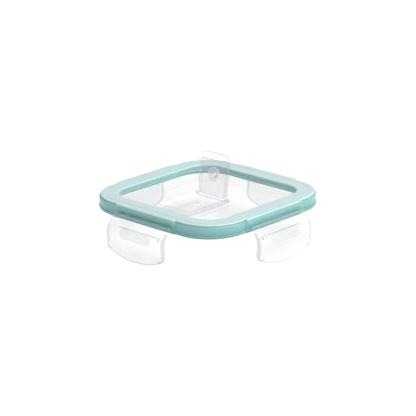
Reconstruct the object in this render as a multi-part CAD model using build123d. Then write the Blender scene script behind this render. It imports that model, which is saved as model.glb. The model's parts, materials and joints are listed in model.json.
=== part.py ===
from build123d import *
import os
from math import asin, cos, degrees, radians, sin

# Clip-on lid of a square glass food box: a coloured rim frame over a clear panel, a sealing ring,
# four clear latches that hinge on the rim, and a small vent flap that hinges in the panel.
# Origin: on the surface that the open latches stand on, under the lid's centre.
# +Z up. -Y is the front, the side that the closed vent flap points to. The vent hinge is along X.

# ---- driving dimensions, mm ----
# rim frame
LID_SIDE = 117.6            # outside of the rim, away from the hinge pads
RIM_WIDTH = 12.4            # width of the rim's flat top, from outside to opening
RIM_HEIGHT = 9.3            # height of the rim's outer wall
RIM_TOP_THICK = 1.9
RIM_WALL = 2.1              # thickness of the outer wall
RIM_LIP = 1.5               # thickness of the wall round the opening
RIM_CORNER_R = 27.0
OPENING_CORNER_R = 15.7
RIM_TOP_ROUND = 0.7
RIM_BOTTOM_ROUND = 0.4
OPENING_ROUND = 0.7
LEDGE_WIDTH = 0.9           # ledge round the corners, outside the raised top
LEDGE_DEPTH = 1.5           # from the rim's top down to the ledge
LEDGE_ROUND = 0.4           # ledge's outer edge
BEAD_PROUD = 0.35           # thin bead round the outer wall
BEAD_HEIGHT = 0.6
BEAD_DEPTH = 7.6            # from the rim's top to the bead's middle
TOP_GROOVE_IN = 4.2         # shallow groove in the rim's top, in from the outside
TOP_GROOVE_WIDTH = 0.6
TOP_GROOVE_DEPTH = 0.25
LIP_GROOVE_DEPTH = 2.1      # groove round the opening, below the rim's top
LIP_GROOVE_HEIGHT = 0.4
LIP_GROOVE_CUT = 0.3
PAD_LENGTH = 53.4           # hinge pads in the middle of each side
PAD_PROUD = 0.8
PAD_CORNER_R = 0.42         # pad's outer corners, below the ledge
PAD_TOP_CORNER_R = 1.1      # the same corners above it
PAD_JOIN_R = 0.35           # where the pad meets the wall

# clear panel
RECESS_DEPTH = 3.7          # from the rim's top down to the panel
PANEL_THICK = 1.8
FLANGE_THICK = 1.5          # the step under the rim's top
SKIRT_THICK = 1.8
SKIRT_DEPTH = 13.0          # from the rim's top to the skirt's bottom
SKIRT_ROUND = 0.6
FIT_GAP = 0.1               # side clearance between pieces that are fixed to each other

# sealing ring
GASKET_THICK = 2.0
LAND_WIDTH = 3.0            # raised land that meets the glass
LAND_HEIGHT = 0.6

# vent pocket in the panel
POCKET_WIDTH = 27.0
POCKET_BACK = 7.0           # y of the pocket's back wall
POCKET_LENGTH = 39.0
POCKET_DEPTH = 3.4
POCKET_CORNER_R = 2.0
POCKET_WALL = 2.2
POCKET_FLOOR = 1.6
VENT_HOLE_R = 2.6
VENT_HOLE_REACH = 15.4      # hole's distance in front of the flap's hinge

# vent flap
FLAP_AXIS_Y = 4.7
FLAP_AXIS_DEPTH = 1.5       # hinge axis below the panel's top
FLAP_SIDE_GAP = 1.5         # between the flap and the pocket's side walls
FLAP_LENGTH = 30.0          # hinge axis to the middle of the free end
FLAP_END_RISE = 1.3         # how far the free end's arc drops back at the sides
FLAP_PLATE = 1.3
FLAP_FLANGE = 1.2           # thickness of the stiffening wall round the flap
FLAP_LIP = 3.6              # free lip in front of the stiffening wall, for a fingertip
FLAP_OPEN_ANGLE = 97.0      # how far the flap stands open
PIN_R = 0.9
PIN_CLEARANCE = 0.06
PIN_REACH = 1.2             # how far each pin goes into the pocket's wall
PIN_END_GAP = 0.2
SNAP_SLOT = 1.3             # width of the slot that the pins are pressed in through
LUG_R = 0.7                 # two small catch lugs on the stiffening wall
LUG_BITE = 0.3
LUG_GAP = 0.3
LUG_SETBACK = 6.9           # from the free end's middle
GRIP_RIDGES = 3
GRIP_PITCH = 1.6
GRIP_RIDGE = 0.5
GRIP_HEIGHT = 0.3
GRIP_WIDTH = 13.0

# vent plug
PLUG_R = 4.8
PLUG_LIFT = 0.3             # gap over the pocket's floor with the flap shut
PLUG_STEM_R = 1.5
PLUG_HEAD_R = 2.6
PLUG_HEAD_THICK = 0.5
PLUG_NOSE_GAP = 0.4         # nose to vent hole, all round
PLUG_NOSE_TAPER = 0.4
PLUG_NOSE_LENGTH = 1.6

# latch hinge
HINGE_DEPTH = 5.9           # axis below the rim's top
HINGE_OUT = 2.2             # axis outside the pad's face
ROD_R = 0.7
ROD_CLEARANCE = 0.06
BARREL_WALL = 0.64
ROD_SETBACK = 0.4           # rod's end inside the barrel's end
WEBS = 4                    # webs that carry the rod
WEB_PITCH = 13.0
WEB_THICK = 1.2
WEB_HEIGHT = 0.8
WEB_SIDE_GAP = 0.35
WEB_SWING_MARGIN = 6.0      # degrees left free past each end of the swing
MOUTH = 1.1                 # gap that the barrel snaps over the rod through
LATCH_OPEN_ANGLE = 100.0    # outwards and up, from hanging
LATCH_SHUT_ANGLE = 25.0     # inwards, onto the glass

# latch
LATCH_WIDTH = 50.2
LATCH_BULGE = 0.5
LATCH_DROP = 26.6           # hinge axis to the tip
LATCH_CORNER_DROP = 21.0    # hinge axis to where the side meets the bottom arc
LATCH_CORNER_R = 6.0
LATCH_THICK = 2.2
NECK_THICK = 1.5
# the latch's curve in section: distance outside the hinge axis, and drop below it
LATCH_CURVE = [(1.5, 1.6), (3.6, 3.6), (5.5, 7.3), (6.1, 11.3), (5.6, 15.8), (5.7, 19.6), (6.9, 28.6)]
CATCH_WIDTH = 36.0
CATCH_TOP = 6.3             # catch below the hinge axis
CATCH_REACH = 3.4           # how far it stands in from the latch
CATCH_NOSE = 0.8
CATCH_HEIGHT = 3.6
THUMB_WIDTH = 27.0          # raised thumb pad on the latch's outer face
THUMB_HEIGHT = 7.0
THUMB_DROP = 9.0
THUMB_PROUD = 0.25

# ---- derived places ----
HALF = LID_SIDE / 2
OPENING = LID_SIDE - 2 * RIM_WIDTH
RIM_TOP = LATCH_DROP + HINGE_DEPTH
RIM_BOTTOM = RIM_TOP - RIM_HEIGHT
PAD_FACE = HALF + PAD_PROUD
HINGE_Y = PAD_FACE + HINGE_OUT
HINGE_Z = RIM_TOP - HINGE_DEPTH
PANEL_TOP = RIM_TOP - RECESS_DEPTH
CHANNEL_OUT = HALF - RIM_WALL
CHANNEL_OUT_R = RIM_CORNER_R - RIM_WALL
LIP_OUT = OPENING / 2 + RIM_LIP
LIP_OUT_R = OPENING_CORNER_R + RIM_LIP
SKIRT_IN = LIP_OUT + FIT_GAP
SKIRT_IN_R = LIP_OUT_R + FIT_GAP
SKIRT_OUT = SKIRT_IN + SKIRT_THICK
SKIRT_OUT_R = SKIRT_IN_R + SKIRT_THICK
FLANGE_TOP = RIM_TOP - RIM_TOP_THICK
FLANGE_BOTTOM = FLANGE_TOP - FLANGE_THICK
FLAP_AXIS_Z = PANEL_TOP - FLAP_AXIS_DEPTH
FLAP_HALF = POCKET_WIDTH / 2 - FLAP_SIDE_GAP
VENT_HOLE_Y = FLAP_AXIS_Y - VENT_HOLE_REACH
POCKET_FLOOR_TOP = PANEL_TOP - POCKET_DEPTH
BORE_R = ROD_R + ROD_CLEARANCE
BARREL_R = BORE_R + BARREL_WALL

SIDES = {"front": 0, "right": 90, "back": 180, "left": 270}


def slab(half_x, half_y, corner_r, bottom, top):
    """A rounded-corner plate centred on the Z axis, between two heights."""
    outline = RectangleRounded(2 * half_x, 2 * half_y, corner_r)
    return Pos(0, 0, bottom) * extrude(outline, top - bottom)


def ring(outer, outer_r, inner, inner_r, bottom, top):
    """A square ring with rounded corners, between two heights."""
    return slab(outer, outer, outer_r, bottom, top) - slab(inner, inner, inner_r, bottom, top)


def edges_at(solid, height):
    """The solid's edges that lie in one horizontal plane."""
    return [e for e in solid.edges() if abs(e.bounding_box().min.Z - height) < 1e-4
            and abs(e.bounding_box().max.Z - height) < 1e-4]


def padded_outline(side, corner_r, pad_corner_r):
    """A rounded square with a hinge pad in the middle of each side."""
    outline = RectangleRounded(side, side, corner_r)
    outline += Rectangle(2 * PAD_FACE, PAD_LENGTH)
    outline += Rectangle(PAD_LENGTH, 2 * PAD_FACE)
    joins = [v for v in outline.vertices() if max(abs(v.X), abs(v.Y)) < side / 2 + 1e-4
             and min(abs(v.X), abs(v.Y)) < PAD_LENGTH / 2 + 1e-4]
    outline = fillet(joins, PAD_JOIN_R)
    corners = [v for v in outline.vertices() if max(abs(v.X), abs(v.Y)) > PAD_FACE - 1e-4]
    return fillet(corners, pad_corner_r)


def rim_frame():
    """Coloured frame: flat top, ledge, outer wall, wall round the opening, pads, rods and webs."""
    low_outline = padded_outline(LID_SIDE, RIM_CORNER_R, PAD_CORNER_R)
    wall = Pos(0, 0, RIM_BOTTOM) * extrude(low_outline, RIM_HEIGHT - LEDGE_DEPTH)
    wall = fillet(edges_at(wall, RIM_TOP - LEDGE_DEPTH), LEDGE_ROUND)
    raised = padded_outline(LID_SIDE - 2 * LEDGE_WIDTH, RIM_CORNER_R - LEDGE_WIDTH, PAD_TOP_CORNER_R)
    body = wall + Pos(0, 0, RIM_BOTTOM) * extrude(raised, RIM_HEIGHT)
    body = fillet(edges_at(body, RIM_TOP), RIM_TOP_ROUND)
    body = fillet(edges_at(body, RIM_BOTTOM), RIM_BOTTOM_ROUND)
    bead_low = RIM_TOP - BEAD_DEPTH - BEAD_HEIGHT / 2
    body += slab(HALF + BEAD_PROUD, HALF + BEAD_PROUD, RIM_CORNER_R + BEAD_PROUD, bead_low, bead_low + BEAD_HEIGHT)
    body -= ring(CHANNEL_OUT, CHANNEL_OUT_R, LIP_OUT, LIP_OUT_R, RIM_BOTTOM, FLANGE_TOP)
    body -= slab(LIP_OUT, LIP_OUT, LIP_OUT_R, RIM_BOTTOM, PANEL_TOP)
    body -= slab(OPENING / 2, OPENING / 2, OPENING_CORNER_R, RIM_BOTTOM, RIM_TOP)
    opening_edges = [e for e in edges_at(body, RIM_TOP)
                     if max(abs(e.center().X), abs(e.center().Y)) < OPENING / 2 + 1e-3]
    body = fillet(opening_edges, OPENING_ROUND)
    groove_out = HALF - TOP_GROOVE_IN
    groove_in = groove_out - TOP_GROOVE_WIDTH
    body -= ring(groove_out, RIM_CORNER_R - TOP_GROOVE_IN, groove_in,
                 RIM_CORNER_R - TOP_GROOVE_IN - TOP_GROOVE_WIDTH, RIM_TOP - TOP_GROOVE_DEPTH, RIM_TOP)
    lip_cut = OPENING / 2 + LIP_GROOVE_CUT
    body -= slab(lip_cut, lip_cut, OPENING_CORNER_R + LIP_GROOVE_CUT,
                 RIM_TOP - LIP_GROOVE_DEPTH - LIP_GROOVE_HEIGHT, RIM_TOP - LIP_GROOVE_DEPTH)
    for turn in SIDES.values():
        body += Rot(0, 0, turn) * hinge_rod()
    return body


def hinge_rod():
    """The front side's rod along X, with the webs that hold it off the pad."""
    length = LATCH_WIDTH - 2 * ROD_SETBACK
    rod = Pos(0, -HINGE_Y, HINGE_Z) * Rot(0, 90, 0) * Cylinder(ROD_R, length)
    reach = HINGE_OUT + RIM_WALL / 2
    for i in range(WEBS):
        x = (i - (WEBS - 1) / 2) * WEB_PITCH
        rod += Pos(x, -HINGE_Y + reach / 2, HINGE_Z) * Box(WEB_THICK, reach, WEB_HEIGHT)
    return rod


def lid_panel():
    """Clear panel: plate, skirt that plugs into the glass, flange under the rim, vent pocket."""
    plate = slab(SKIRT_IN, SKIRT_IN, SKIRT_IN_R, PANEL_TOP - PANEL_THICK, PANEL_TOP)
    skirt = ring(SKIRT_OUT, SKIRT_OUT_R, SKIRT_IN, SKIRT_IN_R, RIM_TOP - SKIRT_DEPTH, FLANGE_TOP)
    skirt = fillet(edges_at(skirt, RIM_TOP - SKIRT_DEPTH), SKIRT_ROUND)
    flange = ring(CHANNEL_OUT - FIT_GAP, CHANNEL_OUT_R - FIT_GAP, SKIRT_IN, SKIRT_IN_R,
                  FLANGE_BOTTOM, FLANGE_TOP)
    body = plate + skirt + flange
    pocket_y = POCKET_BACK - POCKET_LENGTH / 2
    tub_bottom = POCKET_FLOOR_TOP - POCKET_FLOOR
    tub = slab(POCKET_WIDTH / 2 + POCKET_WALL, POCKET_LENGTH / 2 + POCKET_WALL,
               POCKET_CORNER_R + POCKET_WALL, tub_bottom, PANEL_TOP)
    hollow = slab(POCKET_WIDTH / 2, POCKET_LENGTH / 2, POCKET_CORNER_R, POCKET_FLOOR_TOP, PANEL_TOP)
    body += Pos(0, pocket_y, 0) * tub
    body -= Pos(0, pocket_y, 0) * hollow
    body -= Pos(0, VENT_HOLE_Y, POCKET_FLOOR_TOP) * Cylinder(VENT_HOLE_R, 4 * POCKET_FLOOR)
    bore_start = POCKET_WIDTH / 2 - FLAP_SIDE_GAP / 2
    bore_length = POCKET_WIDTH / 2 + PIN_REACH + PIN_END_GAP - bore_start
    lug_half = LUG_R + LUG_GAP
    lug_y = FLAP_AXIS_Y - FLAP_LENGTH + LUG_SETBACK
    notch_depth = LUG_BITE + LUG_GAP
    notch_height = 2 * FLAP_AXIS_DEPTH + LUG_GAP
    for side in (-1, 1):
        hinge_end = Pos(side * (bore_start + bore_length / 2), FLAP_AXIS_Y, FLAP_AXIS_Z)
        body -= hinge_end * Rot(0, 90, 0) * Cylinder(PIN_R + PIN_CLEARANCE, bore_length)
        body -= hinge_end * Pos(0, 0, FLAP_AXIS_DEPTH) * Box(bore_length, SNAP_SLOT, 2 * FLAP_AXIS_DEPTH)
        notch = Box(2 * notch_depth, 2 * lug_half, 2 * notch_height)
        body -= Pos(side * POCKET_WIDTH / 2, lug_y, PANEL_TOP) * notch
    return body


def seal_gasket():
    """Soft ring in the channel between skirt and outer wall, with a raised land."""
    outer = CHANNEL_OUT - FIT_GAP
    outer_r = CHANNEL_OUT_R - FIT_GAP
    inner = SKIRT_OUT + FIT_GAP
    inner_r = SKIRT_OUT_R + FIT_GAP
    base_bottom = FLANGE_BOTTOM - GASKET_THICK
    body = ring(outer, outer_r, inner, inner_r, base_bottom, FLANGE_BOTTOM)
    margin = (outer - inner - LAND_WIDTH) / 2
    land = ring(outer - margin, outer_r - margin, inner + margin, inner_r + margin,
                base_bottom - LAND_HEIGHT, base_bottom)
    return body + land


def flap_place(solid):
    """Stands a flap piece open, from its shut place with the hinge axis at the origin."""
    return Pos(0, FLAP_AXIS_Y, FLAP_AXIS_Z) * Rot(-FLAP_OPEN_ANGLE, 0, 0) * solid


def flap_outline(half_width, length, rise):
    """Plan of the flap from the hinge axis forwards, with an arc for its free end."""
    edge = [Line((-half_width, -length + rise), (-half_width, 0)),
            Line((-half_width, 0), (half_width, 0)),
            Line((half_width, 0), (half_width, -length + rise)),
            ThreePointArc((half_width, -length + rise), (0, -length), (-half_width, -length + rise))]
    return make_face(edge)


def vent_flap():
    """Shallow clear tray, upside down, that turns on two stub pins."""
    top = FLAP_AXIS_DEPTH
    plate = Pos(0, 0, top - FLAP_PLATE) * extrude(flap_outline(FLAP_HALF, FLAP_LENGTH, FLAP_END_RISE), FLAP_PLATE)
    wall_length = FLAP_LENGTH - FLAP_END_RISE - FLAP_LIP
    frame = Pos(0, -wall_length / 2, 0) * Box(2 * FLAP_HALF, wall_length, 2 * top)
    inside = Pos(0, -wall_length / 2, -FLAP_PLATE) * Box(
        2 * (FLAP_HALF - FLAP_FLANGE), wall_length - 2 * FLAP_FLANGE, 2 * top)
    knuckle = Rot(0, 90, 0) * Cylinder(top, 2 * FLAP_HALF)
    body = plate + frame + knuckle - inside
    lug_y = -FLAP_LENGTH + LUG_SETBACK
    lug_length = FLAP_FLANGE + FLAP_SIDE_GAP + LUG_BITE
    pin_length = FLAP_FLANGE + FLAP_SIDE_GAP + PIN_REACH
    inner_face = FLAP_HALF - FLAP_FLANGE
    for side in (-1, 1):
        pin = Rot(0, 90, 0) * Cylinder(PIN_R, pin_length)
        body += Pos(side * (inner_face + pin_length / 2), 0, 0) * pin
        lug = Rot(0, 90, 0) * Cylinder(LUG_R, lug_length)
        body += Pos(side * (inner_face + lug_length / 2), lug_y, LUG_R - top) * lug
    for i in range(GRIP_RIDGES):
        y = -FLAP_LENGTH + FLAP_END_RISE + i * GRIP_PITCH
        body += Pos(0, y, top) * Box(GRIP_WIDTH, GRIP_RIDGE, 2 * GRIP_HEIGHT)
    body -= Pos(0, -VENT_HOLE_REACH, 0) * Cylinder(PLUG_STEM_R, 4 * top)
    body -= Pos(0, -VENT_HOLE_REACH, top) * Cylinder(PLUG_HEAD_R, 2 * PLUG_HEAD_THICK)
    return body


def vent_plug():
    """Soft plug pulled through the flap: head, stem, sealing disc and tapered nose."""
    top = FLAP_AXIS_DEPTH
    under = top - FLAP_PLATE
    disc_bottom = top - POCKET_DEPTH + PLUG_LIFT
    nose_r = VENT_HOLE_R - PLUG_NOSE_GAP
    section = Polyline((0, top), (PLUG_HEAD_R, top), (PLUG_HEAD_R, top - PLUG_HEAD_THICK),
                       (PLUG_STEM_R, top - PLUG_HEAD_THICK), (PLUG_STEM_R, under), (PLUG_R, under),
                       (PLUG_R, disc_bottom), (nose_r, disc_bottom),
                       (nose_r - PLUG_NOSE_TAPER, disc_bottom - PLUG_NOSE_LENGTH),
                       (0, disc_bottom - PLUG_NOSE_LENGTH), close=True)
    profile = Plane.XZ * make_face(section)
    return Pos(0, -VENT_HOLE_REACH, 0) * revolve(profile, Axis.Z)


def latch_plate(outer, inner):
    """The latch's curved plate in section, between two offsets from its middle line."""
    middle = Spline(*[(-out, -drop) for out, drop in LATCH_CURVE])
    steps = 4 * len(LATCH_CURVE)
    faces = []
    for offset in (outer, inner):
        points = []
        for i in range(steps + 1):
            at = middle.position_at(i / steps)
            along = middle.tangent_at(i / steps)
            points.append((at.X + offset * along.Y, at.Y - offset * along.X))
        faces.append(points)
    first, second = faces
    return make_face([Spline(*first), Line(first[-1], second[-1]), Spline(*second), Line(second[0], first[0])])


def sector(radius, start, end):
    """A pie slice about the hinge axis; angles run from straight out (0) over the top (90)."""
    points = [(0, 0)]
    steps = 12
    for i in range(steps + 1):
        angle = radians(start + (end - start) * i / steps)
        points.append((-radius * cos(angle), radius * sin(angle)))
    return make_face(Polyline(*points, close=True))


def latch():
    """The front latch, hanging, with its hinge axis along X at the origin."""
    half = LATCH_WIDTH / 2
    full = half + LATCH_BULGE
    neck_out, neck_drop = LATCH_CURVE[0]
    neck_angle = degrees(asin(neck_drop / (neck_out ** 2 + neck_drop ** 2) ** 0.5))
    neck_length = (neck_out ** 2 + neck_drop ** 2) ** 0.5 + NECK_THICK / 2
    neck = Rot(0, 0, neck_angle) * Pos(-neck_length / 2, 0) * Rectangle(neck_length, NECK_THICK)
    section = latch_plate(LATCH_THICK / 2, -LATCH_THICK / 2) + neck
    plate = Plane.YZ * Pos(0, 0, -full) * extrude(section, 2 * full)

    corner = (full - LATCH_BULGE / 2, -LATCH_CORNER_DROP)
    top = NECK_THICK
    outline = make_face([
        Line((-half, top), (half, top)),
        ThreePointArc((half, top), (full, -LATCH_CORNER_DROP / 2), corner),
        ThreePointArc(corner, (0, -LATCH_DROP), (-corner[0], corner[1])),
        ThreePointArc((-corner[0], corner[1]), (-full, -LATCH_CORNER_DROP / 2), (-half, top))])
    bottom_corners = [v for v in outline.vertices() if v.Y < -LATCH_CORNER_DROP / 2]
    outline = fillet(bottom_corners, LATCH_CORNER_R)
    depth = 4 * LATCH_DROP
    cutter = Plane.XZ * Pos(0, 0, -depth / 2) * extrude(outline, depth)
    body = plate & cutter

    rib_out = LATCH_CURVE[2][0]
    rib = make_face(Polyline(
        (-rib_out, -CATCH_TOP), (-rib_out + LATCH_THICK / 2 + CATCH_REACH, -CATCH_TOP - CATCH_NOSE / 2),
        (-rib_out + LATCH_THICK / 2 + CATCH_REACH, -CATCH_TOP - 1.5 * CATCH_NOSE),
        (-rib_out, -CATCH_TOP - CATCH_HEIGHT), close=True))
    body += Plane.YZ * Pos(0, 0, -CATCH_WIDTH / 2) * extrude(rib, CATCH_WIDTH)

    thumb_section = latch_plate(LATCH_THICK / 2, -LATCH_THICK / 2 - THUMB_PROUD)
    thumb_body = Plane.YZ * Pos(0, 0, -THUMB_WIDTH / 2) * extrude(thumb_section, THUMB_WIDTH)
    pill = Pos(0, -THUMB_DROP) * SlotOverall(THUMB_WIDTH, THUMB_HEIGHT)
    body += thumb_body & (Plane.XZ * Pos(0, 0, -depth / 2) * extrude(pill, depth))

    body += Rot(0, 90, 0) * Cylinder(BARREL_R, LATCH_WIDTH)
    body -= Rot(0, 90, 0) * Cylinder(BORE_R, 2 * LATCH_WIDTH)
    body -= Pos(0, BARREL_R, 0) * Box(2 * LATCH_WIDTH, 2 * BARREL_R, MOUTH)
    web_half_angle = degrees(asin(WEB_HEIGHT / 2 / BORE_R)) + WEB_SWING_MARGIN
    slot = sector(BARREL_R + WEB_SIDE_GAP, 180 - LATCH_OPEN_ANGLE - web_half_angle,
                  180 + LATCH_SHUT_ANGLE + web_half_angle)
    slot_width = WEB_THICK + 2 * WEB_SIDE_GAP
    for i in range(WEBS):
        x = (i - (WEBS - 1) / 2) * WEB_PITCH
        body -= Plane.YZ * Pos(0, 0, x - slot_width / 2) * extrude(slot, slot_width)
    return body


def main():
    os.makedirs("parts", exist_ok=True)
    pieces = {"rim_frame": rim_frame(), "lid_panel": lid_panel(), "seal_gasket": seal_gasket(),
              "vent_flap": flap_place(vent_flap()), "vent_plug": flap_place(vent_plug())}
    front_latch = Pos(0, -HINGE_Y, HINGE_Z) * latch()
    for side, turn in SIDES.items():
        pieces["latch_" + side] = Rot(0, 0, turn) * front_latch
    for name, solid in pieces.items():
        export_step(solid, f"parts/{name}.step")


main()
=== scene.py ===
# %% [markdown]
# A square clip-on lid for a glass food box. It stands on its four open latches, with its vent flap up.
# The rim is a satin teal moulding, the panel and flap are clear plastic, and the latches are clear too,
# but slightly milky. The lid comes packed from CAD: loading it puts every part in its true place, in
# metres. The parts whose soft moulded edges matter to the eye are modelled again here, around that frame.

import json
import math

import bmesh
import bpy
from mathutils import Matrix, Vector

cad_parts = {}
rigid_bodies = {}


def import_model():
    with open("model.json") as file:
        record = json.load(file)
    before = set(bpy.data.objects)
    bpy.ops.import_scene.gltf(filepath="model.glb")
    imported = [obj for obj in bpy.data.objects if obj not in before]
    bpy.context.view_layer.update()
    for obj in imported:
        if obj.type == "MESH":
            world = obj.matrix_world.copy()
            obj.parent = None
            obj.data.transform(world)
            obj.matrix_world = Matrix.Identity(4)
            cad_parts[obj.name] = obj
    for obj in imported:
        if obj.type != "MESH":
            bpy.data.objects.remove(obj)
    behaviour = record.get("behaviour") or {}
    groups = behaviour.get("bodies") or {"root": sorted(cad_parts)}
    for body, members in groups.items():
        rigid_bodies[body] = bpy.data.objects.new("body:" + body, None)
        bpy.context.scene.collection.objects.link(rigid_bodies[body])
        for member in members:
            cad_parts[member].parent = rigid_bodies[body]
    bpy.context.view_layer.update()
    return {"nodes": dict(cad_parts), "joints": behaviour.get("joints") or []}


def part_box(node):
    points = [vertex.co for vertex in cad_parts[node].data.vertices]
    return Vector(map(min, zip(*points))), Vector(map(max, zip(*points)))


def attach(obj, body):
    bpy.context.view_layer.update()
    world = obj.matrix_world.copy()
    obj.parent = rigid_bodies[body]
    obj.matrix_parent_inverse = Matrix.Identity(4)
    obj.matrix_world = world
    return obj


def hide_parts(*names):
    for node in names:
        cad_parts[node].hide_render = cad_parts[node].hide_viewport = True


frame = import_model()
nodes = frame["nodes"]
hinges = {joint["name"]: joint for joint in frame["joints"]}
MM = 0.001
RIM_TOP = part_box("rim_frame")[1].z
print("parts:", sorted(nodes))
print("joints:", sorted(hinges), "rim top at", round(RIM_TOP, 4))

# %% [markdown]
# The camera stands well back with a long lens, a little above the lid and turned towards one corner, as
# for a shop catalogue. A long lens keeps opposite sides nearly parallel. The place is worked out from
# three angles and a distance rather than dragged by hand, so that it stays exact.

# %% Camera
TURN = math.radians(43.6)
LIFT = math.radians(18.36)
ROLL = math.radians(-0.59)
DISTANCE = 1.297
AIM_RIGHT = 0.07
AIM_BELOW_RIM = 11.4
LENS = 169
SENSOR = 36
back = Vector((math.sin(TURN) * math.cos(LIFT), -math.cos(TURN) * math.cos(LIFT), math.sin(LIFT)))
right = Vector((math.cos(TURN), math.sin(TURN), 0))
up = back.cross(right)
aim = Vector((0, 0, RIM_TOP)) + right * AIM_RIGHT * MM - up * AIM_BELOW_RIM * MM
camera = bpy.data.objects.new("camera", bpy.data.cameras.new("camera"))
bpy.context.scene.collection.objects.link(camera)
camera.data.sensor_width = SENSOR
camera.data.lens = LENS
camera.data.clip_start = 0.05
camera.data.clip_end = 20
camera.location = aim + back * DISTANCE
rolled_right = right * math.cos(ROLL) + up * math.sin(ROLL)
rolled_up = back.cross(rolled_right)
camera.rotation_mode = "QUATERNION"
camera.rotation_quaternion = Matrix((rolled_right, rolled_up, back)).transposed().to_quaternion()
bpy.context.scene.camera = camera
bpy.context.scene.view_settings.view_transform = "Standard"
print("camera at", tuple(round(c, 3) for c in camera.location))

# %% [markdown]
# Moulded plastic is never perfectly even. The steel mould leaves a fine skin texture, and the plastic
# cools at slightly different speeds, which leaves faint clouds in gloss and tone. One node group makes
# both, so that every plastic shares the same logic with its own scale and strength. It only puts out
# plain values. The shaders stay in each material.

# %% Node group: moulded skin
def new_group(name, inputs, outputs):
    group = bpy.data.node_groups.new(name, "ShaderNodeTree")
    for label, kind, value in inputs:
        socket = group.interface.new_socket(label, in_out="INPUT", socket_type=kind)
        if value is not None:
            socket.default_value = value
    for label in outputs:
        group.interface.new_socket(label, in_out="OUTPUT", socket_type="NodeSocketFloat")
    return group, group.nodes.new("NodeGroupInput"), group.nodes.new("NodeGroupOutput")


def add_node(tree, kind, settings=None, **values):
    node = tree.nodes.new(kind)
    for key, value in (settings or {}).items():
        setattr(node, key, value)
    for key, value in values.items():
        node.inputs[key.replace("_", " ")].default_value = value
    return node


def remap(tree, source, from_low, from_high, to_low, to_high):
    node = add_node(tree, "ShaderNodeMapRange")
    for socket, value in zip(node.inputs[1:5], (from_low, from_high, to_low, to_high)):
        socket.default_value = value
    tree.links.new(source, node.inputs[0])
    return node.outputs[0]


skin, skin_in, skin_out = new_group(
    "moulded_skin",
    [("Vector", "NodeSocketVector", None), ("Grain Scale", "NodeSocketFloat", 1400.0),
     ("Cloud Scale", "NodeSocketFloat", 45.0)],
    ["Cloud", "Grain"])
grain = add_node(skin, "ShaderNodeTexNoise", Detail=3.0, Roughness=0.6)
cloud = add_node(skin, "ShaderNodeTexNoise", Detail=4.0, Roughness=0.55, Distortion=0.6)
for noise, scale in ((grain, "Grain Scale"), (cloud, "Cloud Scale")):
    skin.links.new(skin_in.outputs["Vector"], noise.inputs["Vector"])
    skin.links.new(skin_in.outputs[scale], noise.inputs["Scale"])
skin.links.new(remap(skin, cloud.outputs[0], 0.3, 0.7, 0.0, 1.0), skin_out.inputs["Cloud"])
skin.links.new(grain.outputs[0], skin_out.inputs["Grain"])
print("skin group nodes:", len(skin.nodes))

# %% [markdown]
# The second group paints a line along sharp edges. It finds them by comparing the flat normal with one that is
# rounded over a short radius, and breaks the line up with noise so that it is uneven. The line stands in for
# how light catches and bends at an edge: it is a painted highlight on the teal rim and a painted dark line on
# clear plastic.

# %% Node group: painted edge line
edge_line, edge_line_in, edge_line_out = new_group(
    "painted_edge_line",
    [("Vector", "NodeSocketVector", None), ("Radius", "NodeSocketFloat", 0.0005),
     ("Breakup", "NodeSocketFloat", 400.0)],
    ["Rub"])
rounded = add_node(edge_line, "ShaderNodeBevel", {"samples": 4})
geometry = add_node(edge_line, "ShaderNodeNewGeometry")
agreement = add_node(edge_line, "ShaderNodeVectorMath", {"operation": "DOT_PRODUCT"})
patchy = add_node(edge_line, "ShaderNodeTexNoise", Detail=2.0)
edge_line.links.new(edge_line_in.outputs["Radius"], rounded.inputs["Radius"])
edge_line.links.new(rounded.outputs[0], agreement.inputs[0])
edge_line.links.new(geometry.outputs["Normal"], agreement.inputs[1])
edge_line.links.new(edge_line_in.outputs["Vector"], patchy.inputs["Vector"])
edge_line.links.new(edge_line_in.outputs["Breakup"], patchy.inputs["Scale"])
# The group's output is a painted edge light, not wear.
edge_line_strength = add_node(edge_line, "ShaderNodeMath", {"operation": "MULTIPLY"})
edge_line.links.new(remap(edge_line, agreement.outputs["Value"], 1.0, 0.88, 0.0, 1.0), edge_line_strength.inputs[0])
edge_line.links.new(remap(edge_line, patchy.outputs[0], 0.35, 0.6, 0.4, 1.0), edge_line_strength.inputs[1])
edge_line.links.new(edge_line_strength.outputs[0], edge_line_out.inputs["Rub"])
print("rub group nodes:", len(edge_line.nodes))

# %% [markdown]
# The teal rim is an opaque-looking but slightly translucent moulding. Light soaks a few millimetres in, so
# subsurface scattering softens its shadows. A height blend paints shade on the walls, so they are darker
# towards the bottom, and lightens the colour towards the top. The paler top is partly real, because the pigment
# looks thinner where the flat top is only a thin skin over the clear panel, and partly painted light from
# above. The skin group varies tone and gloss, and the edge line group paints a highlight along the edges.

# %% Material: teal rim
def colour_mix(tree, factor, low, high):
    node = add_node(tree, "ShaderNodeMix", {"data_type": "RGBA"})
    if isinstance(factor, float):
        node.inputs[0].default_value = factor
    else:
        tree.links.new(factor, node.inputs[0])
    for socket, colour in ((node.inputs[6], low), (node.inputs[7], high)):
        if isinstance(colour, tuple):
            socket.default_value = (*colour, 1)
        else:
            tree.links.new(colour, socket)
    return node.outputs[2]


def start_material(name, cloud_scale, grain_scale):
    """A new node material with its shader, output, object coordinates and skin group placed."""
    material = bpy.data.materials.new(name)
    material.use_nodes = True
    tree = material.node_tree
    shader = tree.nodes["Principled BSDF"]
    place = add_node(tree, "ShaderNodeTexCoord").outputs["Object"]
    texture = add_node(tree, "ShaderNodeGroup", {"node_tree": skin})
    texture.inputs["Cloud Scale"].default_value = cloud_scale
    texture.inputs["Grain Scale"].default_value = grain_scale
    tree.links.new(place, texture.inputs["Vector"])
    return material, tree, shader, place, texture


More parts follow.
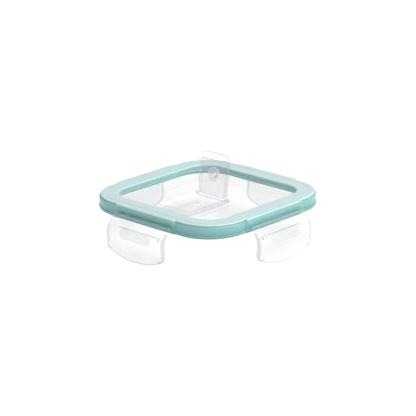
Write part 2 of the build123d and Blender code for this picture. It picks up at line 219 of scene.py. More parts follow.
def add_relief(tree, shader, height, strength, distance):
    bump = add_node(tree, "ShaderNodeBump", Strength=strength, Distance=distance)
    tree.links.new(height, bump.inputs["Height"])
    tree.links.new(bump.outputs[0], shader.inputs["Normal"])


def height_of(tree, place, low, high):
    """0 at the low height and 1 at the high one, by the object's own Z."""
    parts = add_node(tree, "ShaderNodeSeparateXYZ")
    tree.links.new(place, parts.inputs[0])
    return remap(tree, parts.outputs["Z"], low, high, 0.0, 1.0)


# The deep teal is painted shade for the lower walls. The pale teal is the top: partly thinner pigment, partly
# painted light.
TEAL_PAINTED_SHADE = (0.110, 0.340, 0.330)
TEAL_MID = (0.260, 0.520, 0.510)
TEAL_PALE_AND_LIT = (0.600, 0.760, 0.765)
rim_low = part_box("rim_frame")[0].z
teal, tree, shader, place, texture = start_material("teal_rim_plastic", 55.0, 1500.0)
# Painted shade: the wall colour is darker towards the bottom of the rim.
side = colour_mix(tree, height_of(tree, place, rim_low, RIM_TOP - 0.8 * MM), TEAL_PAINTED_SHADE, TEAL_MID)
# The top skin turns paler, partly from thinner pigment over the clear panel and partly as painted light from
# above.
top = colour_mix(tree, height_of(tree, place, RIM_TOP - 0.9 * MM, RIM_TOP - 0.25 * MM), side, TEAL_PALE_AND_LIT)
edge = add_node(tree, "ShaderNodeGroup", {"node_tree": edge_line})
tree.links.new(place, edge.inputs["Vector"])
edge.inputs["Radius"].default_value = 0.5 * MM
cloudy = colour_mix(tree, remap(tree, texture.outputs["Cloud"], 0, 1, 0.0, 0.05), top, (0.62, 0.86, 0.85))
# Painted highlight along the rim's edges.
with_edge_highlight = colour_mix(tree, remap(tree, edge.outputs["Rub"], 0, 1, 0.0, 0.35), cloudy, (0.80, 0.93, 0.92))
tree.links.new(with_edge_highlight, shader.inputs["Base Color"])
tree.links.new(remap(tree, texture.outputs["Cloud"], 0, 1, 0.22, 0.32), shader.inputs["Roughness"])
shader.inputs["Subsurface Weight"].default_value = 0.25
shader.inputs["Subsurface Radius"].default_value = (1.0, 1.0, 1.0)
shader.inputs["Subsurface Scale"].default_value = 1.5 * MM
shader.inputs["IOR"].default_value = 1.5
add_relief(tree, shader, texture.outputs["Grain"], 0.12, 0.05 * MM)
print("material:", teal.name, "with", len(tree.nodes), "nodes")

# %% [markdown]
# Clear plastic can be shown by tracing every ray as it bends through it, but thin mouldings then turn
# black wherever a ray is trapped inside. A mould shop's clear plastic scatters a little light instead
# and reads as pale grey. So each clear material mixes three shaders. A transparent one lets the view
# through, a Principled one gives the milky body, and where the surface is seen at a slant, Layer Weight
# shows more of the body and Fresnel adds the gloss on top. Only the side that faces outwards shows, so a
# wall isn't counted twice, and light rays pass straight through, so clear parts throw no dark shadow.
# Where an edge density is given, the painted edge line group also paints a fine grey line along the edges: a
# painted dark line where light bends at the edge.

# %% Helper: clear plastic
# Colour of the painted dark edge line on clear plastic.
PAINTED_EDGE_GREY = (0.38, 0.38, 0.43)


def clear_plastic(name, body, density, slant_density, gloss, cloud=0.10, frost=0.0, cloud_scale=60.0,
                  edge_density=0.0, edge_radius=0.45, shine=1.42):
    """Milky clear plastic: density is how much of the body shows face on, slant_density at a slant."""
    material, tree, shader, place, texture = start_material(name, cloud_scale, 1800.0)
    pale = tuple(min(1.0, c * 1.15) for c in body)
    tint = colour_mix(tree, texture.outputs["Cloud"], body, pale)
    tree.links.new(remap(tree, texture.outputs["Cloud"], 0, 1, gloss, gloss + 0.1), shader.inputs["Roughness"])
    add_relief(tree, shader, texture.outputs["Grain"], 0.1 + frost, 0.05 * MM)
    slant = add_node(tree, "ShaderNodeLayerWeight", Blend=0.35)
    seen = remap(tree, slant.outputs["Facing"], 0.0, 1.0, density, slant_density)
    if edge_density:
        edge = add_node(tree, "ShaderNodeGroup", {"node_tree": edge_line})
        tree.links.new(place, edge.inputs["Vector"])
        edge.inputs["Radius"].default_value = edge_radius * MM
        tint = colour_mix(tree, edge.outputs["Rub"], tint, PAINTED_EDGE_GREY)
        line = add_node(tree, "ShaderNodeMath", {"operation": "MULTIPLY_ADD"})
        line.inputs[1].default_value = edge_density
        tree.links.new(edge.outputs["Rub"], line.inputs[0])
        tree.links.new(seen, line.inputs[2])
        seen = line.outputs[0]
    tree.links.new(tint, shader.inputs["Base Color"])
    uneven = add_node(tree, "ShaderNodeMath", {"operation": "MULTIPLY", "use_clamp": True})
    tree.links.new(seen, uneven.inputs[0])
    tree.links.new(remap(tree, texture.outputs["Cloud"], 0, 1, 1 - cloud, 1 + cloud), uneven.inputs[1])
    window = add_node(tree, "ShaderNodeBsdfTransparent", Color=(0.995, 0.995, 0.997, 1))
    milk = add_node(tree, "ShaderNodeMixShader")
    milk.name = "milk_share"
    tree.links.new(uneven.outputs[0], milk.inputs[0])
    tree.links.new(window.outputs[0], milk.inputs[1])
    tree.links.new(shader.outputs[0], milk.inputs[2])
    glint = add_node(tree, "ShaderNodeBsdfGlossy", Roughness=gloss)
    rise = add_node(tree, "ShaderNodeFresnel", IOR=shine)
    glossy = add_node(tree, "ShaderNodeMixShader")
    tree.links.new(rise.outputs[0], glossy.inputs[0])
    tree.links.new(milk.outputs[0], glossy.inputs[1])
    tree.links.new(glint.outputs[0], glossy.inputs[2])
    path = add_node(tree, "ShaderNodeLightPath")
    inside = add_node(tree, "ShaderNodeNewGeometry")
    passes = add_node(tree, "ShaderNodeMath", {"operation": "MAXIMUM"})
    lets_by = add_node(tree, "ShaderNodeMath", {"operation": "MAXIMUM"})
    tree.links.new(path.outputs["Is Shadow Ray"], passes.inputs[0])
    tree.links.new(path.outputs["Is Diffuse Ray"], passes.inputs[1])
    tree.links.new(passes.outputs[0], lets_by.inputs[0])
    tree.links.new(inside.outputs["Backfacing"], lets_by.inputs[1])
    surface = add_node(tree, "ShaderNodeMixShader")
    tree.links.new(lets_by.outputs[0], surface.inputs[0])
    tree.links.new(glossy.outputs[0], surface.inputs[1])
    tree.links.new(window.outputs[0], surface.inputs[2])
    tree.links.new(surface.outputs[0], tree.nodes["Material Output"].inputs["Surface"])
    return material


# The panel's edges carry the painted dark edge line.
panel_clear = clear_plastic("panel_clear", (0.72, 0.74, 0.76), 0.03, 0.12, 0.06, edge_density=1.0,
                            edge_radius=0.4)
flap_clear = clear_plastic("flap_clear", (0.48, 0.475, 0.49), 0.15, 0.30, 0.07)
# flap_edge is denser and darker: painted to stand in for clear plastic looking denser where light leaves at the
# edge.
flap_edge = clear_plastic("flap_edge", (0.36, 0.36, 0.42), 0.30, 0.52, 0.10)
latch_milky = clear_plastic("latch_milky", (0.40, 0.39, 0.38), 0.09, 0.33, 0.12, cloud_scale=35.0)
rib_clear = clear_plastic("rib_clear", (0.46, 0.45, 0.44), 0.02, 0.06, 0.2, shine=1.08)
clear_edge = clear_plastic("clear_edge", (0.20, 0.20, 0.27), 0.34, 0.62, 0.15)
frosted = clear_plastic("frosted_clear", (0.44, 0.44, 0.44), 0.28, 0.52, 0.4, 0.12, 0.6, 1500.0)


def frost_patch(material, middle, half_run, half_width, ceiling):
    """Frosts a pill-shaped patch that runs along Y, below a height, in a clear material. All in mm."""
    tree = material.node_tree
    shader = tree.nodes["Principled BSDF"]
    place = tree.nodes["Texture Coordinate"].outputs["Object"]
    shift = add_node(tree, "ShaderNodeMapping")
    shift.inputs["Location"].default_value = [-c * MM for c in middle]
    parts = add_node(tree, "ShaderNodeSeparateXYZ")
    tree.links.new(place, shift.inputs["Vector"])
    tree.links.new(shift.outputs[0], parts.inputs[0])
    chain = {}
    for label, operation, first, second in (
            ("run", "ABSOLUTE", parts.outputs["Y"], None), ("past", "SUBTRACT", "run", half_run * MM),
            ("over", "MAXIMUM", "past", 0.0), ("over2", "MULTIPLY", "over", "over"),
            ("side2", "MULTIPLY", parts.outputs["X"], parts.outputs["X"]), ("sum", "ADD", "over2", "side2"),
            ("reach", "SQRT", "sum", None), ("low", "LESS_THAN", parts.outputs["Z"], ceiling * MM)):
        step = add_node(tree, "ShaderNodeMath", {"operation": operation})
        for socket, value in zip(step.inputs, (first, second)):
            value = chain.get(value, value) if isinstance(value, str) else value
            if isinstance(value, float):
                socket.default_value = value
            elif value is not None:
                tree.links.new(value, socket)
        chain[label] = step.outputs[0]
    inside = remap(tree, chain["reach"], half_width * MM, (half_width - 1.0) * MM, 0.0, 1.0)
    speckle = add_node(tree, "ShaderNodeTexNoise", Scale=700.0, Detail=3.0)
    tree.links.new(place, speckle.inputs["Vector"])
    frost = add_node(tree, "ShaderNodeMath", {"operation": "MULTIPLY"})
    spread = add_node(tree, "ShaderNodeMath", {"operation": "MULTIPLY"})
    tree.links.new(inside, frost.inputs[0])
    tree.links.new(chain["low"], frost.inputs[1])
    tree.links.new(frost.outputs[0], spread.inputs[0])
    tree.links.new(remap(tree, speckle.outputs[0], 0.35, 0.65, 0.5, 1.0), spread.inputs[1])
    for socket, strength in ((tree.nodes["milk_share"].inputs[0], 0.55), (shader.inputs["Roughness"], 0.45)):
        before = socket.links[0].from_socket
        more = add_node(tree, "ShaderNodeMath", {"operation": "MULTIPLY_ADD", "use_clamp": True})
        more.inputs[1].default_value = strength
        tree.links.new(spread.outputs[0], more.inputs[0])
        tree.links.new(before, more.inputs[2])
        tree.links.new(more.outputs[0], socket)


frost_patch(panel_clear, (-4.5, -15.0, 25.4), 8.5, 3.6, 1.5)
print("clear materials:", [m.name for m in (panel_clear, flap_clear, latch_milky, clear_edge, frosted)])

# %% [markdown]
# The sealing ring and the vent plug are soft silicone: cloudy, without a hard gloss, and slightly
# blue-grey. Subsurface scattering gives the cloudiness, and a rough surface the soft look.

# %% Material: silicone
def silicone(name, body, pale, weight):
    material, tree, shader, place, texture = start_material(name, 90.0, 900.0)
    tree.links.new(colour_mix(tree, texture.outputs["Cloud"], body, pale), shader.inputs["Base Color"])
    tree.links.new(remap(tree, texture.outputs["Cloud"], 0, 1, 0.42, 0.58), shader.inputs["Roughness"])
    shader.inputs["Subsurface Weight"].default_value = weight
    shader.inputs["Subsurface Scale"].default_value = 2 * MM
    add_relief(tree, shader, texture.outputs["Grain"], 0.15, 0.05 * MM)
    return material


ring_silicone = silicone("ring_silicone", (0.70, 0.76, 0.77), (0.82, 0.87, 0.88), 0.6)
plug_silicone = silicone("plug_silicone", (0.80, 0.83, 0.83), (0.88, 0.90, 0.90), 0.4)
plug_silicone.node_tree.nodes["Principled BSDF"].inputs["Alpha"].default_value = 0.33
print("silicone:", ring_silicone.name, plug_silicone.name)

# %% [markdown]
# The rim, panel and sealing ring keep their CAD shapes, which already have their moulded roundings.
# They only change material.

# %% Finish the CAD parts
for node_name, material in (("rim_frame", teal), ("lid_panel", panel_clear), ("seal_gasket", ring_silicone)):
    part = nodes[node_name]
    part.data.materials.clear()
    part.data.materials.append(material)
    print(node_name, "faces:", len(part.data.polygons), "material:", material.name)

# %% [markdown]
# Every new piece is modelled as one would by hand: add a primitive, go into edit mode, pick faces,
# edges or points by where they are, and use an operator on them. These helpers keep that short. Anything
# still selected would be changed too, so everything is deselected first.

# %% Modelling helpers
def deselect_all():
    for thing in bpy.context.view_layer.objects:
        thing.select_set(False)


def name_new(name):
    """Names the primitive just added and applies its size and place."""
    piece = bpy.context.object
    piece.name = name
    piece.data.name = name
    bpy.ops.object.transform_apply(location=True, rotation=True, scale=True)
    return piece


def block(name, low, high):
    """A box between two corners, in mm."""
    deselect_all()
    middle = [(a + b) / 2 * MM for a, b in zip(low, high)]
    bpy.ops.mesh.primitive_cube_add(size=1, location=middle)
    bpy.context.object.scale = [(b - a) * MM for a, b in zip(low, high)]
    return name_new(name)


def rod(name, radius, length, middle, along="X", sides=32):
    """A closed cylinder in mm, along X or Z."""
    deselect_all()
    turn = (0, math.pi / 2, 0) if along == "X" else (0, 0, 0)
    bpy.ops.mesh.primitive_cylinder_add(vertices=sides, radius=radius * MM, depth=length * MM,
                                        location=[c * MM for c in middle], rotation=turn)
    return name_new(name)


def edit(piece):
    deselect_all()
    piece.select_set(True)
    bpy.context.view_layer.objects.active = piece
    bpy.ops.object.mode_set(mode="EDIT")
    bpy.ops.mesh.select_all(action="DESELECT")


def leave_edit():
    bpy.ops.object.mode_set(mode="OBJECT")


def pick(kind, test):
    """In edit mode, selects the points, edges or faces whose middle (mm) and normal pass the test."""
    bpy.ops.mesh.select_mode(type=kind)
    mesh = bmesh.from_edit_mesh(bpy.context.object.data)
    mesh.normal_update()
    group = {"VERT": mesh.verts, "EDGE": mesh.edges, "FACE": mesh.faces}[kind]
    count = 0
    for item in group:
        if kind == "VERT":
            middle = item.co
        elif kind == "EDGE":
            middle = (item.verts[0].co + item.verts[1].co) / 2
        else:
            middle = item.calc_center_median()
        chosen = bool(test(middle / MM, item.normal if kind != "EDGE" else None))
        item.select_set(chosen)
        count += chosen
    mesh.select_flush_mode()
    bmesh.update_edit_mesh(bpy.context.object.data)
    return count


def apply_modifier(piece, kind, **settings):
    deselect_all()
    piece.select_set(True)
    bpy.context.view_layer.objects.active = piece
    modifier = piece.modifiers.new(kind.lower(), kind)
    for key, value in settings.items():
        setattr(modifier, key, value)
    bpy.ops.object.modifier_apply(modifier=modifier.name)


def combine(piece, other, operation):
    """Unites, cuts or intersects the piece with another, which is then removed."""
    apply_modifier(piece, "BOOLEAN", object=other, operation=operation, solver="EXACT")
    bpy.data.objects.remove(other)


def soften(piece, width, angle=35, segments=2):
    """Rounds the edges that turn by more than the angle."""
    apply_modifier(piece, "BEVEL", width=width * MM, segments=segments, limit_method="ANGLE",
                   angle_limit=math.radians(angle), miter_outer="MITER_ARC", harden_normals=False)


def smooth(piece, angle=38):
    deselect_all()
    piece.select_set(True)
    bpy.context.view_layer.objects.active = piece
    bpy.ops.object.shade_smooth_by_angle(angle=math.radians(angle))


def place_piece(piece, turn, move):
    """Turns the piece about the origin, moves it in metres and applies both."""
    piece.matrix_world = Matrix.Translation(move) @ turn
    deselect_all()
    piece.select_set(True)
    bpy.context.view_layer.objects.active = piece
    bpy.ops.object.transform_apply(location=True, rotation=True, scale=True)


print("helpers ready")

# %% [markdown]
# A latch is a thumb-wide tongue of clear plastic with an S-shaped curve. It hangs from the rim's hinge
# rod. Its middle surface is pulled out row by row from one narrow strip, the way the tongue curves, then
# cut into columns so that the bottom can be arched. Solidify gives the wall its thickness, thinner at
# the neck, and Subdivision Surface makes the curve flow. Its creases keep the edges tight but soft.

# %% Latch: the curved tongue
LATCH_HALF = 25.35
LATCH_ROWS = [(0.5, 0.6), (1.7, 1.9), (3.4, 3.5), (4.9, 5.6), (5.8, 8.0), (6.25, 11.2), (5.5, 15.9),
              (5.6, 19.2), (6.55, 26.5)]
LATCH_COLUMNS = (6.5, 13, 18.6)
LATCH_THICK = 2.2
NECK_SHARE = 0.68
deselect_all()
bpy.ops.mesh.primitive_plane_add(size=1, rotation=(math.pi / 2, 0, 0))
bpy.context.object.scale = (2 * LATCH_HALF * MM, 0.2 * MM, 1)
latch = name_new("latch_front_clear")
edit(latch)
pick("VERT", lambda p, n: p.z > 0)
bpy.ops.transform.translate(value=(0, -LATCH_ROWS[0][0] * MM, (-LATCH_ROWS[0][1] - 0.1) * MM))
pick("VERT", lambda p, n: p.y > -0.01)
bpy.ops.transform.translate(value=(0, -LATCH_ROWS[1][0] * MM, (-LATCH_ROWS[1][1] + 0.1) * MM))
for (out, drop), (next_out, next_drop) in zip(LATCH_ROWS[1:], LATCH_ROWS[2:]):
    pick("EDGE", lambda p, n: abs(p.z + drop) < 0.01)
    bpy.ops.mesh.extrude_region_move(
        TRANSFORM_OT_translate={"value": (0, (out - next_out) * MM, (drop - next_drop) * MM)})
for column in (*[-c for c in reversed(LATCH_COLUMNS)], 0, *LATCH_COLUMNS):
    bpy.ops.mesh.select_all(action="SELECT")
    bpy.ops.mesh.bisect(plane_co=(column * MM, 0, 0), plane_no=(1, 0, 0))
leave_edit()
print("latch sheet faces:", len(latch.data.polygons))

# %% [markdown]
# The tongue's bottom edge is a shallow arch. Each column of points below the waist is drawn up in
# height by its own share, most at the sides. The neck is drawn in a little, so the sides bulge below it.

# %% Latch: arched bottom and bulged sides
WAIST = 15.9
TIP = LATCH_ROWS[-1][1]
SIDE_DROP = 20.9
NECK_TAPER = 0.35
edit(latch)
for column in (*LATCH_COLUMNS, LATCH_HALF):
    bottom = TIP - (TIP - SIDE_DROP) * (column / LATCH_HALF) ** 2
    pick("VERT", lambda p, n: abs(abs(p.x) - column) < 0.05 and p.z < -WAIST - 0.1)
    share = (bottom - WAIST) / (TIP - WAIST)
    bpy.ops.transform.resize(value=(1, 1, share), center_override=(0, 0, -WAIST * MM))
pick("VERT", lambda p, n: abs(p.x) > LATCH_HALF - 0.1 and p.z > -4.5)
bpy.ops.transform.resize(value=((LATCH_HALF - NECK_TAPER) / LATCH_HALF, 1, 1), center_override=(0, 0, 0))
leave_edit()
neck = latch.vertex_groups.new(name="full_wall")
neck.add([v.index for v in latch.data.vertices if v.co.z < -5 * MM], 1.0, "REPLACE")
apply_modifier(latch, "SOLIDIFY", thickness=LATCH_THICK * MM, offset=0, use_even_offset=True,
               vertex_group="full_wall", thickness_vertex_group=NECK_SHARE,
               edge_crease_inner=0.55, edge_crease_outer=0.55)
apply_modifier(latch, "SUBSURF", levels=3, render_levels=3)
print("latch tongue faces:", len(latch.data.polygons), "size mm:", [round(d / MM, 1) for d in latch.dimensions])

# %% [markdown]
# A thumb presses the latch on a raised pill-shaped pad. The pad has to follow the tongue's curve, so it
# is cut from a copy of the tongue, moved a quarter of a millimetre outwards and joined on. Behind the
# tongue, a low catch rib will hook under the lip of the glass box.

# %% Latch: thumb pad and catch rib
THUMB_HALF_LENGTH = 13.5
THUMB_HALF_HEIGHT = 3.5
THUMB_DROP = 9.0
PILL_Y = -5
PAD_PROUD = 0.25
RIB_LOW = (-18, -5.5, -9.4)
RIB_HIGH = (18, -1.6, -6.4)
pad = latch.copy()
pad.data = latch.data.copy()
bpy.context.scene.collection.objects.link(pad)
pill = rod("pill", THUMB_HALF_HEIGHT, 20, (0, PILL_Y, -THUMB_DROP), along="Z", sides=48)
edit(pill)
bpy.ops.mesh.select_all(action="SELECT")
bpy.ops.transform.rotate(value=math.pi / 2, orient_axis="X", center_override=(0, PILL_Y * MM, -THUMB_DROP * MM))
pick("VERT", lambda p, n: p.x > 0.05)
bpy.ops.transform.translate(value=((THUMB_HALF_LENGTH - THUMB_HALF_HEIGHT) * MM, 0, 0))
pick("VERT", lambda p, n: p.x < -0.05)
bpy.ops.transform.translate(value=(-(THUMB_HALF_LENGTH - THUMB_HALF_HEIGHT) * MM, 0, 0))
leave_edit()
combine(pad, pill, "INTERSECT")
edit(pad)
bpy.ops.mesh.select_all(action="SELECT")
bpy.ops.transform.translate(value=(0, -PAD_PROUD * MM, 0))
leave_edit()
combine(latch, pad, "UNION")
rib = block("rib", RIB_LOW, RIB_HIGH)
edit(rib)
pick("VERT", lambda p, n: p.y > -2)
bpy.ops.transform.resize(value=(1, 1, 0.35), center_override=(0, 0, -7.2 * MM))
leave_edit()
soften(rib, 0.3, 30)
combine(latch, rib, "UNION")
print("latch with pad and rib faces:", len(latch.data.polygons))

# %% [markdown]
# Along its top the latch has a barrel, an open tube that clips over the rim's hinge rod. The rod is
# carried by four webs, so the barrel is notched at each, wide enough for the whole swing. Each notch
# cutter is a small plane spun about the hinge axis through the angle that the web passes.

# %% Latch: barrel, bore and web notches
BARREL_LENGTH = 50.2
BARREL_R = 1.40
BORE_R = 0.76
MOUTH = 1.1
WEBS = 4
WEB_PITCH = 13.0
NOTCH_WIDTH = 1.9
NOTCH_R = 1.75
NOTCH_FROM = 42.2
NOTCH_TO = 242.8
barrel = rod("barrel", BARREL_R, BARREL_LENGTH, (0, 0, 0), sides=40)
soften(barrel, 0.15, 60)
combine(latch, barrel, "UNION")
combine(latch, rod("bore", BORE_R, 60, (0, 0, 0), sides=32), "DIFFERENCE")
combine(latch, block("mouth", (-30, 0, -MOUTH / 2), (30, 3, MOUTH / 2)), "DIFFERENCE")
for i in range(WEBS):
    x = (i - (WEBS - 1) / 2) * WEB_PITCH
    notch = block("notch", (x - NOTCH_WIDTH / 2, -NOTCH_R, -0.1), (x + NOTCH_WIDTH / 2, 0, 0.1))
    edit(notch)
    pick("FACE", lambda p, n: n.z > -0.5)
    bpy.ops.mesh.delete(type="FACE")
    pick("VERT", lambda p, n: True)
    bpy.ops.transform.translate(value=(0, 0, 0.1 * MM))
    bpy.ops.transform.rotate(value=math.radians(NOTCH_FROM), orient_axis="X", center_override=(0, 0, 0))
    bpy.ops.mesh.spin(steps=20, angle=math.radians(NOTCH_TO - NOTCH_FROM), center=(0, 0, 0), axis=(1, 0, 0))
    bpy.ops.mesh.select_all(action="SELECT")
    bpy.ops.mesh.remove_doubles(threshold=1e-6)
    bpy.ops.mesh.normals_make_consistent(inside=False)
    leave_edit()
    print("notch", i, "box mm:", [round(c / MM, 2) for c in notch.dimensions])
    combine(latch, notch, "DIFFERENCE")
smooth(latch)
print("finished latch faces:", len(latch.data.polygons))

# %% [markdown]
# The same clear plastic looks denser where light runs along the wall and leaves at the cut edge, so the
# rim of the tongue gets its own denser material. The thumb pad is lightly frosted to give grip. The catch
# rib on the back has a thinner material of its own, to show less through the tongue.

# %% Latch: materials by region
for material in (latch_milky, clear_edge, frosted, rib_clear):
    latch.data.materials.append(material)
edit(latch)
BORDER = 0.95
SIDE_EXTRA = 0.35
CORNER_FROM = (19.5, 16.5)
CORNER_SOFTNESS = 10


def near_outline(p):
    """True within the border's width of the tongue's side or arched bottom."""
    arch = TIP - (TIP - SIDE_DROP) * (p.x / LATCH_HALF) ** 2
    corner = max(0, abs(p.x) - CORNER_FROM[0]) * max(0, -p.z - CORNER_FROM[1]) / CORNER_SOFTNESS
    return abs(p.x) > LATCH_HALF - BORDER - SIDE_EXTRA or -p.z > arch - BORDER - corner


def on_thumb_pad(p):
    """True inside the pill-shaped outline of the thumb pad."""
    past_straight = max(0, abs(p.x) - THUMB_HALF_LENGTH + THUMB_HALF_HEIGHT)
    return math.hypot(past_straight, p.z + THUMB_DROP) < THUMB_HALF_HEIGHT - 0.05


edges = pick("FACE", lambda p, n: (abs(n.x) > 0.5 or near_outline(p)) and p.z < -2.5)
latch.active_material_index = 1
bpy.ops.object.material_slot_assign()
pads = pick("FACE", lambda p, n: n.y < -0.5 and on_thumb_pad(p))
latch.active_material_index = 2
bpy.ops.object.material_slot_assign()
ribs = pick("FACE", lambda p, n: p.y > -3.95 and -9.8 < p.z < -6.1 and abs(p.x) < 18.2)
latch.active_material_index = 3
bpy.ops.object.material_slot_assign()
leave_edit()
print("edge faces:", edges, "pad faces:", pads, "rib faces:", ribs)

# %% [markdown]
# All four latches come out of the same mould, so the finished one is copied three times, each with its
# own mesh, and turned to its side of the lid. Each rides on its own joint.

# %% Latch: four sides
latches = {"front": latch}
for side in ("right", "back", "left"):
    twin = latch.copy()
    twin.data = latch.data.copy()
    twin.name = f"latch_{side}_clear"
    bpy.context.scene.collection.objects.link(twin)
    latches[side] = twin
for side, angle in (("front", 0), ("right", 90), ("back", 180), ("left", 270)):
    hinge = Vector(hinges[f"latch_{side}_hinge"]["pos_m"])
    place_piece(latches[side], Matrix.Rotation(math.radians(angle), 4, "Z"), hinge)
    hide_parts(f"latch_{side}")
    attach(latches[side], f"latch_{side}")
    print(side, "latch hinge at", tuple(round(c, 4) for c in hinge))

# %% [markdown]
# The vent flap is a shallow tray turned upside down: a plate with a stiffening wall round it, a free lip
# for a fingertip, and stub pins to turn on. It is built lying shut, with its hinge axis at the origin,
# because straight shapes are easiest to measure that way, and swung up when it is finished.

# %% Flap: plate and stiffening wall
FLAP_HALF = 12.0
FLAP_TOP = 1.5
FLAP_UNDER = 0.2
FLAP_WALL = 1.2
FLAP_END = 30.0
WALL_END = 25.1
FLAP_BORDER = 0.6
FLAP_RISE = 1.3
FLAP_COLUMNS = (4, 7, 9.2)
flap = block("vent_flap_clear", (-FLAP_HALF, -FLAP_END, FLAP_UNDER), (FLAP_HALF, 0, FLAP_TOP))
edit(flap)
for column in (*[-c for c in reversed(FLAP_COLUMNS)], 0, *FLAP_COLUMNS):
    bpy.ops.mesh.select_all(action="SELECT")
    bpy.ops.mesh.bisect(plane_co=(column * MM, 0, 0), plane_no=(1, 0, 0))
for column in (*FLAP_COLUMNS, FLAP_HALF):
    pick("VERT", lambda p, n: abs(abs(p.x) - column) < 0.05 and p.y < -FLAP_END + 0.01)
    bpy.ops.transform.translate(value=(0, FLAP_RISE * (column / FLAP_HALF) ** 2 * MM, 0))
pick("FACE", lambda p, n: abs(n.z) > 0.9)
bpy.ops.mesh.inset(thickness=FLAP_BORDER * MM)
leave_edit()
tray = block("tray", (-FLAP_HALF, -WALL_END, -FLAP_TOP), (FLAP_HALF, 0, FLAP_TOP))
edit(tray)
pick("FACE", lambda p, n: n.z < -0.5)
bpy.ops.mesh.inset(thickness=FLAP_WALL * MM)
bpy.ops.mesh.extrude_region_move(TRANSFORM_OT_translate={"value": (0, 0, (FLAP_TOP + FLAP_UNDER) * MM)})
leave_edit()
combine(flap, tray, "UNION")
combine(flap, rod("knuckle", FLAP_TOP, 2 * FLAP_HALF, (0, 0, 0), sides=32), "UNION")
print("flap faces:", len(flap.data.polygons), "size mm:", [round(d / MM, 1) for d in flap.dimensions])

# %% [markdown]
# Small things make the flap believable: two stub pins at the hinge, two catch lugs near the free end,
# three grip ridges under the fingertip, and the hole and countersink that hold the soft plug.

# %% Flap: pins, lugs, ridges and plug hole
PLUG_Y = -15.4
PLUG_STEM_R = 1.5
PLUG_HEAD_R = 2.6
PIN_R = 0.9
PIN_LENGTH = 3.9
LUG_R = 0.7
LUG_LENGTH = 3.0
WALL_INSIDE = FLAP_HALF - FLAP_WALL
for side in (-1, 1):
    pin = rod("pin", PIN_R, PIN_LENGTH, (side * (WALL_INSIDE + PIN_LENGTH / 2), 0, 0), sides=24)
    soften(pin, 0.15, 60)
    combine(flap, pin, "UNION")
    lug = rod("lug", LUG_R, LUG_LENGTH, (side * (WALL_INSIDE + LUG_LENGTH / 2), -23.1, -0.8), sides=20)
    soften(lug, 0.2, 60)
    combine(flap, lug, "UNION")
combine(flap, rod("plug_hole", PLUG_STEM_R, 8, (0, PLUG_Y, 0), along="Z"), "DIFFERENCE")
combine(flap, rod("countersink", PLUG_HEAD_R, 1.0, (0, PLUG_Y, FLAP_TOP), along="Z"), "DIFFERENCE")
soften(flap, 0.22, 40)
for i in range(3):
    y = -28.7 + 1.6 * i
    ridge = block("ridge", (-6.5, y - 0.25, FLAP_TOP - 0.3), (6.5, y + 0.25, FLAP_TOP + 0.3))
    soften(ridge, 0.15, 40)
    combine(flap, ridge, "UNION")
smooth(flap)
for material in (flap_clear, flap_edge):
    flap.data.materials.append(material)
edit(flap)


def near_flap_outline(p):
    """True within the border strip of the flap's sides or arched end."""
    arch = FLAP_END - FLAP_RISE * (p.x / FLAP_HALF) ** 2
    return abs(p.x) > FLAP_HALF - FLAP_BORDER or -p.y > arch - FLAP_BORDER - 0.1


# The flap's border and side faces get the darker edge material, a painted effect of light leaving at the edge.
edges = pick("FACE", lambda p, n: abs(n.z) < 0.97 or near_flap_outline(p))
flap.active_material_index = 1
bpy.ops.object.material_slot_assign()
leave_edit()
print("finished flap faces:", len(flap.data.polygons), "edge faces:", edges)

# %% [markdown]
# The plug is turned: every section through it is a circle. It starts as a filled circle that is pushed
# down and resized step by step, following the plug's outline, as one would draw it on a lathe.

# %% Vent plug
PLUG_STEPS = [(PLUG_HEAD_R, 1.0), (PLUG_STEM_R, 1.0), (PLUG_STEM_R, 0.2), (4.8, 0.2), (4.8, -1.6), (2.2, -1.6),
              (1.8, -3.2)]
deselect_all()
bpy.ops.mesh.primitive_circle_add(vertices=48, radius=PLUG_HEAD_R * MM, fill_type="NGON",
                                  location=(0, PLUG_Y * MM, FLAP_TOP * MM))
plug = name_new("vent_plug_soft")
edit(plug)
bpy.ops.mesh.select_all(action="SELECT")
radius, height = PLUG_HEAD_R, FLAP_TOP
for next_radius, next_height in PLUG_STEPS:
    bpy.ops.mesh.extrude_region_move(TRANSFORM_OT_translate={"value": (0, 0, (next_height - height) * MM)})
    share = next_radius / radius
    bpy.ops.transform.resize(value=(share, share, 1), center_override=(0, PLUG_Y * MM, 0))
    radius, height = next_radius, next_height
bpy.ops.mesh.select_all(action="SELECT")
bpy.ops.mesh.normals_make_consistent(inside=False)
leave_edit()
soften(plug, 0.25, 30, 3)
smooth(plug)
plug.data.materials.append(plug_silicone)
print("plug faces:", len(plug.data.polygons))

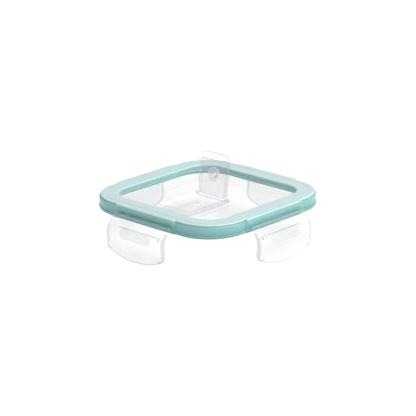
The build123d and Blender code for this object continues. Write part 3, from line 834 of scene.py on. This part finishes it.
# %% [markdown]
# The flap and its plug are now swung up on the hinge axis to the open stop and moved to their place in
# the panel. Both ride on the flap's own joint.

# %% Flap and plug: swing up
FLAP_OPEN = math.radians(97)
flap_axis = Vector(hinges["vent_flap_hinge"]["pos_m"])
for piece, node_name, slot_name in ((flap, "vent_flap", "clear_plastic"), (plug, "vent_plug", "seal_silicone")):
    place_piece(piece, Matrix.Rotation(-FLAP_OPEN, 4, "X"), flap_axis)
    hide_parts(node_name)
    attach(piece, "vent_flap")
    print(piece.name, "now reaches", round(max(v.co.z for v in piece.data.vertices) / MM, 1), "mm high")

# %% [markdown]
# The lid stands on a white light table: a floor that glows a little, so it stays white right up to the
# latches. One large soft lamp hangs overhead, and another to the right makes the right-hand walls read
# lighter than the left ones. A plain pale world fills the rest.

# %% Floor and light
deselect_all()
bpy.ops.mesh.primitive_plane_add(size=6)
floor = bpy.context.object
floor.name = "floor"
floor_white, tree, shader, place, texture = start_material("floor_white", 2.0, 300.0)
tree.links.new(colour_mix(tree, texture.outputs["Cloud"], (0.50, 0.50, 0.50), (0.51, 0.51, 0.51)),
               shader.inputs["Base Color"])
shader.inputs["Roughness"].default_value = 0.8
shader.inputs["Emission Color"].default_value = (1, 1, 1, 1)
shader.inputs["Emission Strength"].default_value = 0.62
floor.data.materials.append(floor_white)
world = bpy.data.worlds.new("studio")
bpy.context.scene.world = world
world.use_nodes = True
world.node_tree.nodes["Background"].inputs["Color"].default_value = (1, 1, 1, 1)
world.node_tree.nodes["Background"].inputs["Strength"].default_value = 0.50


def softbox(name, place, size, power):
    lamp = bpy.data.lights.new(name, "AREA")
    lamp.shape = "RECTANGLE"
    lamp.size, lamp.size_y = size
    lamp.energy = power
    holder = bpy.data.objects.new(name, lamp)
    bpy.context.scene.collection.objects.link(holder)
    holder.location = place
    holder.rotation_mode = "QUATERNION"
    holder.rotation_quaternion = (-Vector(place)).to_track_quat("-Z", "Y")
    print(name, "power", power, "W")


softbox("top_light", (0.3, 0.3, 1.2), (1.2, 1.2), 9)
softbox("right_light", (1.1, 0.2, 0.5), (0.8, 0.8), 6)
